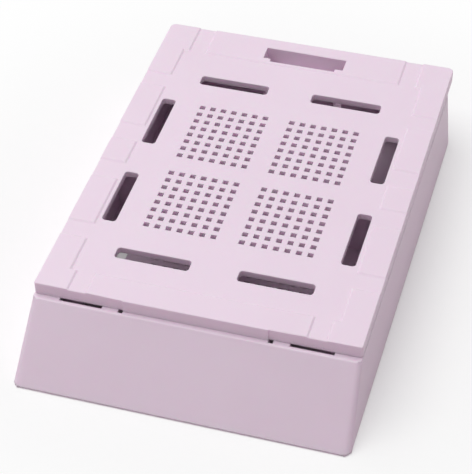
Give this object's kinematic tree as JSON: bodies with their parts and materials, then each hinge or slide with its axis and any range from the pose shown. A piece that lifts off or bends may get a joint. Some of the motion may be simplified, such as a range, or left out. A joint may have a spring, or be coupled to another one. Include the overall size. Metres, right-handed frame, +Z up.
{
  "type": "tissue cassette",
  "caption": "Small perforated plastic cassette with a sloping writing face, wells and a hinged lid that latches at the rear.",
  "frame": {"origin": "middle of the footprint, on the surface that the cassette stands on", "axes": "+Z up, +Y from the writing face towards the latch, +X to the right when the writing face is seen from the front"},
  "size_m": [0.0288, 0.0432, 0.007],
  "materials": {
    "moulding": "satin"
  },
  "bodies": {
    "base": {"cassette_base": "moulding"},
    "lid": {"cassette_lid": "moulding"}
  },
  "joints": [
    {"name": "lid_hinge", "type": "hinge", "parent": "base", "child": "lid", "pos_m": [0, -0.01635, 0.0055], "axis": [1, 0, 0], "range_deg": [0, 120]}
  ]
}
